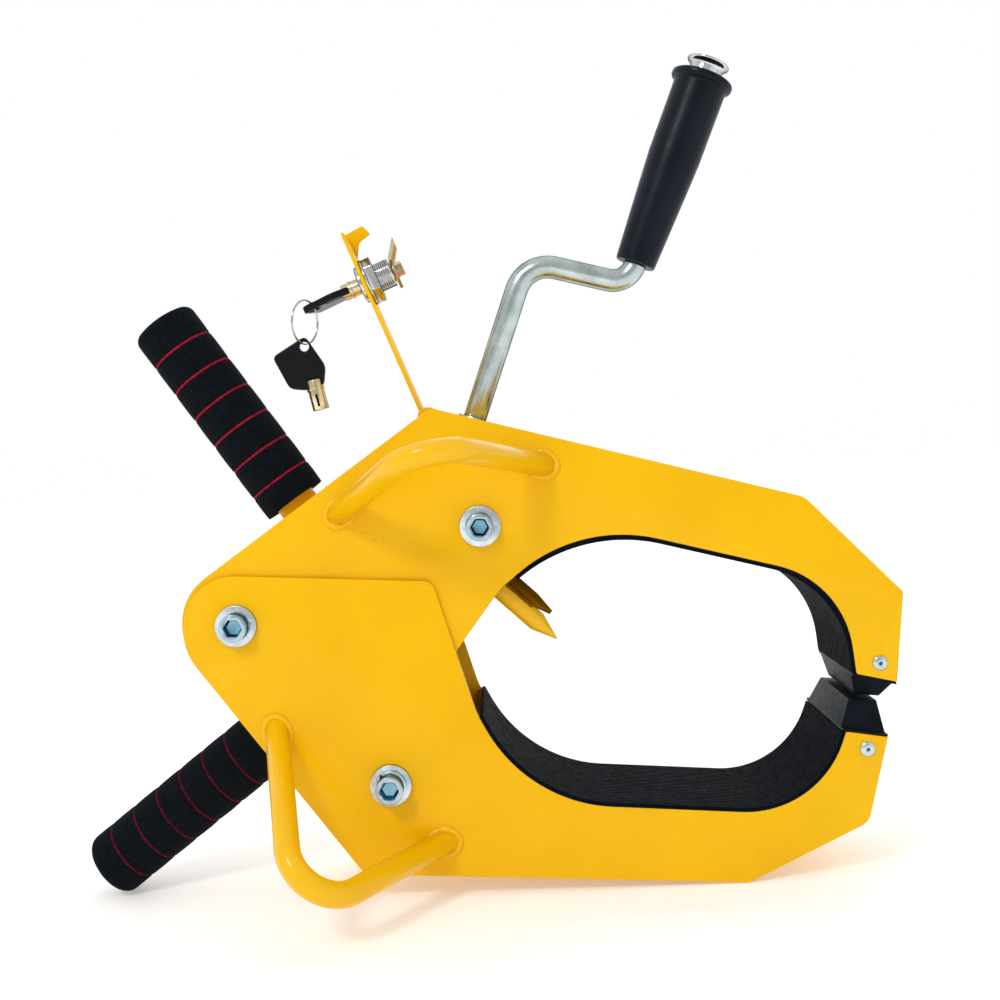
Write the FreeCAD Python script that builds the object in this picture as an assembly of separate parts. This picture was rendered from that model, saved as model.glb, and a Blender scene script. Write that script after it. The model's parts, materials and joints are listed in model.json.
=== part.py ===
import FreeCAD, Part
import math
import os

# Wheel clamp: two pincer jaws of welded sheet steel that close on a tyre.
# A cranked screw between the jaws closes them, and a hinged flap with a cam lock
# covers the screw once the crank is taken out.
#
# Design frame: the pivot axis is x = 0, z = 0 and runs along Y, which is also the
# clamp's depth. X runs from the pivot to the jaw tips and Z is up. The front is -Y.
# The finished clamp is tipped onto the two places it stands on and moved so that
# the origin is the bottom centre of its box.

# ---- driving dimensions, millimetres and degrees ----
PLATE = 3.0
DEPTH = 82.0
SIDE_GAP = 0.5
LOWER_OUT = DEPTH / 2
LOWER_IN = LOWER_OUT - PLATE
UPPER_OUT = LOWER_IN - SIDE_GAP
UPPER_IN = UPPER_OUT - PLATE
RUNNING = 0.05

# Corners of the two jaw side plates, each with its rounding radius.
LOBE_R = 32.5
UPPER_APERTURE = [(153.1, 24.5, 7.6), (198.4, 64.6, 92.8), (352.5, 33.0, 56.8), (361.4, -21.1, 2.0)]
UPPER_BACK = [(385.2, -25.3, 0.5), (387.8, 27.4, 2.5), (329.1, 81.5, 15.0), (109.7, 128.8, 8.0)]
UPPER_ROOT = [(-LOBE_R, 16.8, LOBE_R), (-LOBE_R, -LOBE_R, LOBE_R), (114.5, -LOBE_R, 10.0)]
LOWER_APERTURE = [(140.3, -47.1, 34.8), (171.7, -99.3, 88.8), (340.5, -102.7, 59.0), (355.0, -54.0, 2.0)]
LOWER_BACK = [(379.5, -56.6, 0.5), (369.5, -106.3, 10.4), (300.8, -142.7, 2.0), (77.8, -142.7, 4.0)]
LOWER_ROOT = [(-31.5, -14.4, 34.0), (-29.0, 28.8, 29.0), (113.0, 28.2, 7.0)]

# The rim strips follow the plates' edges, RIM_INSET inside them.
RIM_INSET = 4.0
RIM_BEND = 8.0
RIM_LEAN = 12.15
UPPER_RIM = [(-5.0, 38.5, 0.0), (109.7, 128.8, RIM_BEND), (329.1, 81.5, 15.0), (387.8, 27.4, RIM_BEND),
             (385.3, -23.3, 0.0)]
LOWER_RIM = [(-4.0, -46.7, 0.0), (77.8, -142.7, RIM_BEND), (300.8, -142.7, RIM_BEND), (369.5, -106.3, 12.0),
             (379.1, -58.6, 0.0)]
LINING = 2.5
UPPER_LINING_START = 10.8
LOWER_LINING_START = 3.6
LINING_END = 0.9

# Moulded tips and their rivets.
UPPER_RIVET = (375.0, -14.4)
LOWER_RIVET = (367.7, -63.8)
RIVET_R = 2.4
TIP_TAPER = 7.0
TIP_FLANGE = 1.5

# Cross bolts, M10, with the pivot bolt at the origin.
UPPER_BOLT = (140.2, 60.6)
LOWER_BOLT = (91.8, -90.3)
BOLT_R = 5.0
BOLT_HOLE_R = 5.05
HEAD_R = 8.0
HEAD_T = 8.0
SOCKET_AF = 8.0
SOCKET_DEPTH = 5.0
WASHER_R = 12.0
WASHER_T = 2.5
SPRING_WASHER_R = 9.2
SPRING_WASHER_T = 2.6
NUT_AF = 17.0
NUT_T = 8.5
NUT_COLLAR_R = 7.6
NUT_COLLAR_T = 10.5
BOLT_END = 11.5
SLEEVE_R = 9.0
LOWER_SPACER_R = 11.0

# Screw line: it passes the upper bolt at one distance and the lower bolt at another.
SCREW_LEAN = 16.7
UPPER_REACH = 23.0
LOWER_REACH = 20.0
SCREW_SPAN = 158.44
SCREW_R = 8.0
NUT_CLEARANCE = 0.4
JOURNAL_R = 6.0
COLLAR_R = 11.0
COLLAR_T = 3.9
THRUST_WASHER_T = 2.0
BLOCK_HALF_Y = 14.0
NUT_HALF = 9.0
THRUST_HALF = 10.0
HEX_AF = 12.0
HEX_LOW = 46.0
HEX_HIGH = 55.5

# Crank: drive socket, rod bent twice, and the grip on its spindle.
SOCKET_R = 10.0
SOCKET_LOW = 46.3
SOCKET_HIGH = 59.0
CRANK_R = 7.0
CRANK_BEND = 20.0
SECOND_BEND = 14.0
CRANK_ELBOW = (164.4, 220.8)
CRANK_CORNER = (227.1, 207.7)
SPINDLE_R = 5.0
GRIP_LEAN = 18.9
GRIP_START = 13.0
GRIP_LENGTH = 122.0

# Straight grips: a foam sleeve on a tube that stands on the rim.
FOAM_R = 20.0
FOAM_EDGE = 3.0
FOAM_END = 6.0
TUBE_R = 12.5
TUBE_WALL = 2.0
UPPER_GRIP_FOOT = (30.1, 66.1)
UPPER_GRIP_LEAN = -38.2
UPPER_FOAM = (6.5, 143.0)
LOWER_GRIP_FOOT = (17.0, -71.3)
LOWER_GRIP_LEAN = -130.5
LOWER_FOAM = (7.0, 131.0)

# Bar handles: left foot, highest point in front of the plate, right foot.
HANDLE_R = 7.0
HANDLE_BEND = 24.0
HANDLE_REACH = 95.0
UPPER_HANDLE = ((58.4, 66.6), (110.4, 109.4), (175.4, 97.4))
LOWER_HANDLE = ((25.2, -61.0), (52.1, -133.0), (123.5, -122.8))

# Spike and the pointed bracket over it, welded to the upper bolt's spacers.
SPIKE_LEAN = 129.9
SPIKE_R = 6.0
SPIKE_Y = -18.0
SPIKE_TUBE_R = 13.0
BRACKET_FRONT = -20.0
BRACKET_REAR = 30.0
BRACKET_LENGTH = 70.0
BRACKET_POINT = 11.0

# Lock flap and its hinge.
FLAP_FOOT = (103.3, 126.1)
FLAP_LEAN = -25.1
FLAP_LENGTH = 118.5
FLAP_HALF_Y = 15.0
FLAP_T = 2.0
HINGE = (107.2, 124.5)
HINGE_PIN_R = 2.5
HINGE_TUBE_R = 4.5
EAR_IN = 15.5
EAR_OUT = 18.5

# Cam lock, at a distance up the flap.
LOCK_ALONG = 87.0
LOCK_R = 9.5
LOCK_FLANGE_R = 11.5
LOCK_WASHER_R = 14.5
LOCK_NUT_AF = 25.0
LOCK_END = 18.0
PLUG_R = 6.1
CAM_STUD_R = 2.5
CAM_T = 2.0
CAM_HALF_Y = 7.0
CAM_TURN = 40.0

# Keys and their ring. The key head's outline is across and along the key, from its ring hole.
KEY_OUT = 4.9
KEY_IN = 3.4
KEY_TIP = 3.4
KEY_HOLE_AT = -35.0
KEY_HOLE_R = 4.0
BOW_T = 4.4
BOW_FRONT = 25.0
BOW = [(-2.4, -7.2, 4.0), (20.0, 0.0, 3.0), (14.9, 21.5, 3.0), (5.5, BOW_FRONT, 1.5), (-5.5, BOW_FRONT, 1.5),
       (-9.6, 13.5, 3.0)]
RING_R = 13.4
RING_WIRE_R = 0.75
RING_TURN = 64.0
RING_SEAT = 40.0
SPARE_LEAN = 163.3

Y_AXIS = FreeCAD.Vector(0, 1, 0)
Z_AXIS = FreeCAD.Vector(0, 0, 1)
ORIGIN = FreeCAD.Vector(0, 0, 0)

parts = {}


# ---- geometry helpers ----
def at(x, z, y=0.0):
    """Point in the design frame."""
    return FreeCAD.Vector(x, y, z)


def toward(lean):
    """Unit vector in the XZ plane, leaning clockwise from +Z as seen from the front."""
    return at(math.sin(math.radians(lean)), math.cos(math.radians(lean)))


def along(start, lean, distance):
    """(x, z) of the point at a distance from start in the direction of lean."""
    step = toward(lean) * distance
    return (start[0] + step.x, start[1] + step.z)


def place(shape, start, lean, y=0.0):
    """Take a shape modelled up the Z axis to a start point and lean it."""
    moved = shape.copy()
    moved.rotate(ORIGIN, Y_AXIS, lean)
    moved.translate(at(start[0], start[1], y))
    return moved


def unit(a, b):
    """Unit vector from a to b, each (x, z, ...)."""
    length = math.hypot(b[0] - a[0], b[1] - a[1])
    return ((b[0] - a[0]) / length, (b[1] - a[1]) / length)


def rounded_corner(before, corner, after):
    """Start, middle and end of a corner's arc, or the corner alone when it is sharp."""
    x, z, radius = corner
    if radius <= 0:
        return [at(x, z)]
    back, ahead = unit(corner, before), unit(corner, after)
    half = math.acos(back[0] * ahead[0] + back[1] * ahead[1]) / 2
    setback = radius / math.tan(half)
    bisector = unit((0, 0), (back[0] + ahead[0], back[1] + ahead[1]))
    nearest = radius / math.sin(half) - radius
    return [at(x + back[0] * setback, z + back[1] * setback),
            at(x + bisector[0] * nearest, z + bisector[1] * nearest),
            at(x + ahead[0] * setback, z + ahead[1] * setback)]


def outline(corners):
    """Closed face in the XZ plane from rounded corners."""
    stops = []
    for i, corner in enumerate(corners):
        stops.append(rounded_corner(corners[i - 1], corner, corners[(i + 1) % len(corners)]))
    edges = []
    for i, stop in enumerate(stops):
        if len(stop) == 3:
            edges.append(Part.Arc(*stop).toShape())
        following = stops[(i + 1) % len(stops)][0]
        if stop[-1].distanceToPoint(following) > 1e-6:
            edges.append(Part.makeLine(stop[-1], following))
    return Part.Face(Part.Wire(edges))


def shifted(chain, distance):
    """An open chain of rounded corners moved sideways, to the left of its travel."""
    result = []
    for i, corner in enumerate(chain):
        normals = []
        if i > 0:
            step = unit(chain[i - 1], corner)
            normals.append((-step[1], step[0]))
        if i < len(chain) - 1:
            step = unit(corner, chain[i + 1])
            normals.append((-step[1], step[0]))
        if len(normals) == 1:
            result.append((corner[0] + normals[0][0] * distance, corner[1] + normals[0][1] * distance, 0.0))
            continue
        a, b = normals
        scale = distance / (1 + a[0] * b[0] + a[1] * b[1])
        turn = a[0] * b[1] - a[1] * b[0]
        radius = corner[2] - math.copysign(distance, turn)
        moved = (corner[0] + (a[0] + b[0]) * scale, corner[1] + (a[1] + b[1]) * scale)
        result.append(moved + (max(radius, 0.5),))
    return result


def strip(chain, near, far):
    """Face of a bent strip that lies between two sideways distances of a chain."""
    return outline(shifted(chain, near) + list(reversed(shifted(chain, far))))


def slab(face, y_low, y_high):
    """Extrude a face of the XZ plane between two depths."""
    moved = face.copy()
    moved.translate(at(0, 0, y_low))
    return moved.extrude(at(0, 0, y_high - y_low))


def cross_rod(centre, radius, y_low, y_high):
    """Cylinder along Y."""
    return Part.makeCylinder(radius, y_high - y_low, at(centre[0], centre[1], y_low), Y_AXIS)


def ring_y(centre, outer, inner, y_low, y_high):
    """Round ring or tube along Y."""
    return cross_rod(centre, outer, y_low, y_high).cut(cross_rod(centre, inner, y_low - 1, y_high + 1))


def barrel(radius, low, high):
    """Cylinder up the Z axis."""
    return Part.makeCylinder(radius, high - low, at(0, low))


def tube(outer, inner, low, high):
    """Tube up the Z axis."""
    return barrel(outer, low, high).cut(barrel(inner, low - 1, high + 1))


def hexagon(across_flats, low, high):
    """Hexagonal prism up the Z axis."""
    corner = across_flats / math.sqrt(3)
    turns = [math.radians(60 * i) for i in range(7)]
    ring = [FreeCAD.Vector(corner * math.cos(turn), corner * math.sin(turn), low) for turn in turns]
    return Part.Face(Part.makePolygon(ring)).extrude(at(0, high - low))


def block(x_low, x_high, y_half, z_low, z_high):
    """Box that is symmetric in depth."""
    return Part.makeBox(x_high - x_low, 2 * y_half, z_high - z_low, at(x_low, z_low, -y_half))


def turned(profile):
    """Solid of revolution about Z from (radius, height) points that start and end on the axis."""
    points = [at(r, z) for r, z in profile]
    face = Part.Face(Part.makePolygon(points + points[:1]))
    return face.revolve(ORIGIN, Z_AXIS, 360)


def bent_bar(points, bend, radius):
    """Round bar along 3-D points, with one bend radius at the inner points."""
    edges = []
    last = points[0]
    for before, corner, after in zip(points, points[1:], points[2:]):
        back, ahead = (before - corner).normalize(), (after - corner).normalize()
        half = math.acos(back.dot(ahead)) / 2
        setback = bend / math.tan(half)
        start, end = corner + back * setback, corner + ahead * setback
        middle = corner + (back + ahead).normalize() * (bend / math.sin(half) - bend)
        edges.append(Part.makeLine(last, start))
        edges.append(Part.Arc(start, middle, end).toShape())
        last = end
    edges.append(Part.makeLine(last, points[-1]))
    path = Part.Wire(edges)
    section = Part.Wire(Part.makeCircle(radius, points[0], points[1] - points[0]))
    return path.makePipeShell([section], True, False)


def cut_all(shape, cutters):
    """Cut several shapes from one."""
    for cutter in cutters:
        shape = shape.cut(cutter)
    return shape


def fuse_all(shapes):
    """Fuse several shapes into one solid."""
    return shapes[0].multiFuse(shapes[1:]).removeSplitter()


# ---- places worked out from the driving dimensions ----
def screw_at(distance):
    """(x, z) on the screw line, measured upward from beside the upper bolt."""
    foot = along(UPPER_BOLT, SCREW_LEAN - 90, UPPER_REACH)
    return along(foot, SCREW_LEAN, distance)


def rim_place(shape, distance):
    """Lay a shape on the sloping top rim, at a distance along it from the peak."""
    peak = UPPER_BACK[-1]
    return place(shape, along(peak, RIM_LEAN + 90, distance), RIM_LEAN)


def stepped(corner, toward_corner, distance):
    """Sharp corner at a distance from one corner toward another."""
    step = unit(corner, toward_corner)
    return (corner[0] + step[0] * distance, corner[1] + step[1] * distance, 0.0)


def trimmed(chain, start, end):
    """The same chain, shortened by a distance at each end."""
    return [stepped(chain[0], chain[1], start)] + chain[1:-1] + [stepped(chain[-1], chain[-2], end)]


LOCK_FOOT = along(FLAP_FOOT, FLAP_LEAN, LOCK_ALONG)
LOCK_LEAN = FLAP_LEAN + 90
UPPER_LINED = trimmed(UPPER_APERTURE, UPPER_LINING_START, LINING_END)
LOWER_LINED = trimmed(LOWER_APERTURE, LOWER_LINING_START, LINING_END)


# ---- jaws ----
def lower_jaw():
    """Side plates, aperture band and outer rim of the lower jaw."""
    holes = [cross_rod((0, 0), BOLT_HOLE_R, -DEPTH, DEPTH),
             cross_rod(LOWER_BOLT, BOLT_HOLE_R, -DEPTH, DEPTH),
             cross_rod(LOWER_RIVET, RIVET_R, -DEPTH, DEPTH)]
    side = outline(LOWER_APERTURE + LOWER_BACK + LOWER_ROOT)
    parts["lower_front_plate"] = cut_all(slab(side, -LOWER_OUT, -LOWER_IN), holes)
    parts["lower_rear_plate"] = cut_all(slab(side, LOWER_IN, LOWER_OUT), holes)
    parts["lower_band"] = slab(strip(LOWER_LINED, 0, -PLATE), -LOWER_IN, LOWER_IN)
    parts["lower_rim"] = slab(strip(LOWER_RIM, RIM_INSET, RIM_INSET + PLATE), -LOWER_IN, LOWER_IN)
    parts["lower_lining"] = slab(strip(LOWER_LINED, 0, LINING), -LOWER_OUT, LOWER_OUT)


def upper_jaw():
    """Side plates, aperture band and outer rim of the upper jaw."""
    holes = [cross_rod((0, 0), SLEEVE_R + RUNNING, -DEPTH, DEPTH),
             cross_rod(UPPER_BOLT, BOLT_HOLE_R, -DEPTH, DEPTH),
             cross_rod(UPPER_RIVET, RIVET_R, -DEPTH, DEPTH)]
    side = outline(UPPER_APERTURE + UPPER_BACK + UPPER_ROOT)
    parts["upper_front_plate"] = cut_all(slab(side, -UPPER_OUT, -UPPER_IN), holes)
    parts["upper_rear_plate"] = cut_all(slab(side, UPPER_IN, UPPER_OUT), holes)
    parts["upper_band"] = slab(strip(UPPER_LINED, 0, PLATE), -UPPER_IN, UPPER_IN)
    parts["upper_lining"] = slab(strip(UPPER_LINED, 0, -LINING), -UPPER_OUT, UPPER_OUT)
    rim = slab(strip(UPPER_RIM, -RIM_INSET - PLATE, -RIM_INSET), -UPPER_IN, UPPER_IN)
    hinge_notch = block(98.0, 116.5, EAR_OUT, 100.0, 140.0)
    crank_slot = rim_place(block(-16.5, 16.5, 11.5, -20, 20), 30.3)
    lock_window = rim_place(block(-17.0, 17.0, 17.0, -20, 20), 84.6)
    parts["upper_rim"] = cut_all(rim, [hinge_notch, crank_slot, lock_window])


def tip_cap(root, tip, plug, inner, outer, rivet):
    """Moulded tip: a plug in the jaw, a flange over its end and a tapered nose.

    root and tip are the nose's two edges, ((x, z), (x, z)), and plug is the plug's outline.
    """
    base = [at(root[0][0], root[0][1], -inner), at(root[1][0], root[1][1], -inner),
            at(root[1][0], root[1][1], inner), at(root[0][0], root[0][1], inner)]
    nose_half = inner - TIP_TAPER
    crown = [at(tip[0][0], tip[0][1], -nose_half), at(tip[1][0], tip[1][1], -nose_half),
             at(tip[1][0], tip[1][1], nose_half), at(tip[0][0], tip[0][1], nose_half)]
    nose = Part.makeLoft([Part.makePolygon(ring + ring[:1]) for ring in (base, crown)], True, True)
    lift = unit(root[0], tip[0])
    flange_face = [(root[0][0], root[0][1], 0), (root[1][0], root[1][1], 0),
                   (root[1][0] + lift[0] * TIP_FLANGE, root[1][1] + lift[1] * TIP_FLANGE, 0),
                   (root[0][0] + lift[0] * TIP_FLANGE, root[0][1] + lift[1] * TIP_FLANGE, 0)]
    flange = slab(outline(flange_face), -outer, outer)
    stem = slab(outline([corner + (0,) for corner in plug]), -inner, inner)
    return fuse_all([nose, flange, stem]).cut(cross_rod(rivet, RIVET_R, -DEPTH, DEPTH))


def tip_caps():
    """The two moulded tips and the blind rivets that hold them."""
    parts["upper_tip_cap"] = tip_cap(((358.9, -20.83), (384.6, -25.3)), ((363.0, -34.8), (377.6, -35.6)),
                                     [(366.2, -23.0), (377.2, -25.0), (377.6, 4.0), (366.2, 4.0)],
                                     UPPER_IN, UPPER_OUT, UPPER_RIVET)
    parts["lower_tip_cap"] = tip_cap(((352.6, -53.6), (379.0, -56.5)), ((359.0, -37.0), (375.2, -37.4)),
                                     [(359.6, -53.2), (371.0, -54.4), (366.4, -80.0), (353.2, -80.0)],
                                     LOWER_IN, LOWER_OUT, LOWER_RIVET)
    for name, spot, face in (("upper", UPPER_RIVET, UPPER_OUT), ("lower", LOWER_RIVET, LOWER_OUT)):
        parts[name + "_tip_rivets"] = Part.makeCompound([blind_rivet(spot, face, side) for side in (-1, 1)])


def blind_rivet(spot, face, side):
    """Pop rivet from one side plate into the tip plug: domed head, shank and mandrel hole."""
    shank = barrel(RIVET_R, -12.0, 0.2)
    head = turned([(0, 0), (4.4, 0), (4.2, 0.7), (2.6, 1.5), (0, 1.6)])
    rivet = fuse_all([shank, head]).cut(barrel(1.1, -2.0, 3.0))
    rivet.rotate(ORIGIN, FreeCAD.Vector(1, 0, 0), -90 * side)
    rivet.translate(at(spot[0], spot[1], face * side))
    return rivet


# ---- bolts through the jaws ----
def bolt(centre, face, seat):
    """M10 cap screw across the jaws: round socket head at the front, plain shank to the rear."""
    under_head = -face - seat
    head = cross_rod(centre, HEAD_R, under_head - HEAD_T, under_head)
    socket = hexagon(SOCKET_AF, -SOCKET_DEPTH, 0.0)
    socket.rotate(ORIGIN, FreeCAD.Vector(1, 0, 0), 90)
    socket.translate(at(centre[0], centre[1], under_head - HEAD_T))
    shank = cross_rod(centre, BOLT_R, under_head - 0.5, face + WASHER_T + BOLT_END)
    return fuse_all([head, shank]).cut(socket)


def spring_washer(centre, face):
    """Split lock washer between the lower bolt's head and its flat washer."""
    seat = -face - WASHER_T
    ring = ring_y(centre, SPRING_WASHER_R, BOLT_HOLE_R, seat - SPRING_WASHER_T, seat)
    split = Part.makeBox(1.6, 20.0, 8.0, at(centre[0] - 6.2, centre[1] + 3.0, -face - 18.0))
    return ring.cut(split)


def washers(centre, face):
    """Flat washers under the bolt's head and nut."""
    return Part.makeCompound([ring_y(centre, WASHER_R, BOLT_HOLE_R, -face - WASHER_T, -face),
                              ring_y(centre, WASHER_R, BOLT_HOLE_R, face, face + WASHER_T)])


def lock_nut(centre, face):
    """Hexagonal self-locking nut at the rear."""
    body = hexagon(NUT_AF, 0.0, NUT_T).fuse(barrel(NUT_COLLAR_R, 0.0, NUT_COLLAR_T))
    body = body.cut(barrel(BOLT_HOLE_R, -1.0, NUT_COLLAR_T + 1.0))
    body.rotate(ORIGIN, FreeCAD.Vector(1, 0, 0), -90)
    body.translate(at(centre[0], centre[1], face + WASHER_T))
    return body


def spacers(centre, inner_face, radius):
    """A tube each side of a swivel block, which centres it on the bolt."""
    start = BLOCK_HALF_Y + 0.2
    return Part.makeCompound([ring_y(centre, radius, BOLT_HOLE_R, -inner_face, -start),
                              ring_y(centre, radius, BOLT_HOLE_R, start, inner_face)])


def bolts():
    """Pivot, upper and lower cross bolts with their hardware."""
    for name, centre, face, seat in (("pivot", (0, 0), LOWER_OUT, WASHER_T),
                                     ("upper", UPPER_BOLT, UPPER_OUT, WASHER_T),
                                     ("lower", LOWER_BOLT, LOWER_OUT, WASHER_T + SPRING_WASHER_T)):
        parts[name + "_bolt"] = bolt(centre, face, seat)
        parts[name + "_bolt_washers"] = washers(centre, face)
        parts[name + "_bolt_nut"] = lock_nut(centre, face)
    parts["lower_spring_washer"] = spring_washer(LOWER_BOLT, LOWER_OUT)
    parts["pivot_sleeve"] = ring_y((0, 0), SLEEVE_R, BOLT_HOLE_R, -LOWER_IN, LOWER_IN)
    parts["upper_spacers"] = spacers(UPPER_BOLT, UPPER_IN, SPIKE_TUBE_R)
    parts["lower_spacers"] = spacers(LOWER_BOLT, LOWER_IN, LOWER_SPACER_R)


# ---- screw drive ----
def swivel_block(bolt_centre, reach, bore, half_height):
    """Block that turns on a cross bolt and carries the screw beside it."""
    body = block(-reach - 14.0, 0.0, BLOCK_HALF_Y, -half_height, half_height)
    boss = cross_rod((0, 0), 10.5, -BLOCK_HALF_Y, BLOCK_HALF_Y)
    solid = fuse_all([body, boss])
    solid = solid.cut(cross_rod((0, 0), BOLT_R + RUNNING, -DEPTH, DEPTH))
    hole = Part.makeCylinder(bore, 60, at(-reach, -30))
    return place(solid.cut(hole), bolt_centre, SCREW_LEAN)


def screw_drive():
    """Nut block in the upper jaw, thrust block in the lower one, and the screw between them."""
    parts["nut_block"] = swivel_block(UPPER_BOLT, UPPER_REACH, SCREW_R + NUT_CLEARANCE, NUT_HALF)
    parts["thrust_block"] = swivel_block(LOWER_BOLT, LOWER_REACH, JOURNAL_R + RUNNING, THRUST_HALF)
    bearing = -SCREW_SPAN
    top = bearing + THRUST_HALF
    bottom = bearing - THRUST_HALF
    collar = top + THRUST_WASHER_T + 0.1
    shaft = fuse_all([barrel(JOURNAL_R, bottom - 5.0, collar + 1.0),
                      barrel(COLLAR_R, collar, collar + COLLAR_T),
                      barrel(SCREW_R, collar + COLLAR_T - 1.0, HEX_LOW),
                      hexagon(HEX_AF, HEX_LOW - 1.0, HEX_HIGH)])
    washer = tube(COLLAR_R, JOURNAL_R + RUNNING, top + RUNNING, top + RUNNING + THRUST_WASHER_T)
    ring = tube(10.0, JOURNAL_R, bottom - 4.1, bottom - 0.1)
    for name, shape in (("screw", shaft), ("thrust_washer", washer), ("screw_retaining_nut", ring)):
        parts[name] = place(shape, screw_at(0), SCREW_LEAN)


def crank_rod():
    """Rod: screw line, elbow, arm, second bend and a thinner spindle for the grip."""
    foot = screw_at(HEX_HIGH + 0.2)
    grip_foot = along(CRANK_CORNER, GRIP_LEAN, GRIP_START)
    arm_middle = ((CRANK_ELBOW[0] + CRANK_CORNER[0]) / 2, (CRANK_ELBOW[1] + CRANK_CORNER[1]) / 2)
    first = bent_bar([at(*foot), at(*CRANK_ELBOW), at(*arm_middle)], CRANK_BEND, CRANK_R)
    second = bent_bar([at(*arm_middle), at(*CRANK_CORNER), at(*grip_foot)], SECOND_BEND, CRANK_R)
    spindle = barrel(SPINDLE_R, GRIP_START - 0.5, GRIP_START + GRIP_LENGTH + 5.5)
    return fuse_all([first, second, place(spindle, CRANK_CORNER, GRIP_LEAN)])


def crank_parts():
    """Rod, drive socket, grip and the push-on end cap."""
    parts["crank_rod"] = crank_rod()
    hole = hexagon(HEX_AF + 0.2, SOCKET_LOW - 1.0, HEX_HIGH + 0.2)
    drive = barrel(SOCKET_R, SOCKET_LOW, SOCKET_HIGH).cut(hole)
    socket = place(drive, screw_at(0), SCREW_LEAN)
    parts["crank_socket"] = socket.cut(parts["crank_rod"])
    grip = turned([(0, 0), (12.2, 0), (12.6, 0.8), (15.2, 50.0), (16.2, 70.0), (16.4, 116.2), (18.6, 117.2),
                   (19.2, 118.4), (19.2, 120.8), (18.2, GRIP_LENGTH), (0, GRIP_LENGTH)])
    grip = grip.cut(barrel(SPINDLE_R + RUNNING, -1.0, GRIP_LENGTH + 1.0))
    grip_foot = along(CRANK_CORNER, GRIP_LEAN, GRIP_START + 0.2)
    parts["crank_grip"] = place(grip, grip_foot, GRIP_LEAN)
    cap = turned([(0, 0), (7.6, 0), (6.8, 0.9), (6.8, 7.0), (12.4, 7.8), (13.4, 8.6), (13.2, 9.5),
                  (9.0, 11.3), (5.0, 12.0), (0, 12.2)])
    cap_foot = along(CRANK_CORNER, GRIP_LEAN, GRIP_START + GRIP_LENGTH + 0.5)
    parts["crank_end_cap"] = place(cap.cut(barrel(SPINDLE_R, -1.0, 5.0)), cap_foot, GRIP_LEAN)


# ---- handles and grips ----
def handle(feet):
    """Bent bar handle that stands out of the front plate and is welded to it."""
    (x0, z0), (x1, z1), (x2, z2) = feet
    return at(x0, z0), at(x1, z1, -HANDLE_REACH), at(x2, z2)


def welded_handle(feet, face):
    """Handle bar whose ends are trimmed flush with the front plate's outer face."""
    start, apex, end = handle(feet)
    for point in (start, apex, end):
        point.y = point.y - face
    run_in, run_out = (start - apex).normalize() * 15.0, (end - apex).normalize() * 15.0
    bar = bent_bar([start + run_in, apex, end + run_out], HANDLE_BEND, HANDLE_R)
    behind = Part.makeBox(600, 100, 600, FreeCAD.Vector(-200, -face, -300))
    return bar.cut(behind)


def foam_grip(span):
    """Foam sleeve, closed and chamfered at its far end."""
    low, high = span
    sleeve = turned([(0, low), (FOAM_R, low), (FOAM_R, high - FOAM_EDGE), (FOAM_R - FOAM_EDGE, high),
                     (0, high)])
    return sleeve.cut(barrel(TUBE_R, low - 1.0, high - FOAM_END))


def grips():
    """U-handles, and the foam grips on their welded tubes."""
    parts["upper_handle"] = welded_handle(UPPER_HANDLE, UPPER_OUT)
    parts["lower_handle"] = welded_handle(LOWER_HANDLE, LOWER_OUT)
    for name, foot, lean, span in (("upper", UPPER_GRIP_FOOT, UPPER_GRIP_LEAN, UPPER_FOAM),
                                   ("lower", LOWER_GRIP_FOOT, LOWER_GRIP_LEAN, LOWER_FOAM)):
        bar = tube(TUBE_R, TUBE_R - TUBE_WALL, -RIM_INSET + 0.1, span[1] - FOAM_END - 0.5)
        parts[name + "_grip_tube"] = place(bar, foot, lean)
        parts[name + "_foam_grip"] = place(foam_grip(span), foot, lean)


# ---- spike ----
def spike():
    """Pointed bar under a flat bracket that is welded to the upper bolt's spacers."""
    shoulder = BRACKET_LENGTH - BRACKET_POINT
    middle = (BRACKET_FRONT + BRACKET_REAR) / 2
    sheet = [at(0, 0, BRACKET_FRONT), at(0, shoulder, BRACKET_FRONT), at(0, BRACKET_LENGTH, middle),
             at(0, shoulder, BRACKET_REAR), at(0, 0, BRACKET_REAR)]
    face = Part.Face(Part.makePolygon(sheet + sheet[:1]))
    face.translate(at(SPIKE_TUBE_R, 0))
    parts["spike_bracket"] = place(face.extrude(at(PLATE, 0)), UPPER_BOLT, SPIKE_LEAN)
    bar = turned([(0, 4.0), (SPIKE_R, 4.0), (SPIKE_R, 64.0), (0.6, 79.5), (0, 79.8)])
    bar.translate(at(SPIKE_TUBE_R + PLATE + SPIKE_R, 0, SPIKE_Y))
    parts["spike"] = place(bar, UPPER_BOLT, SPIKE_LEAN)


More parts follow.
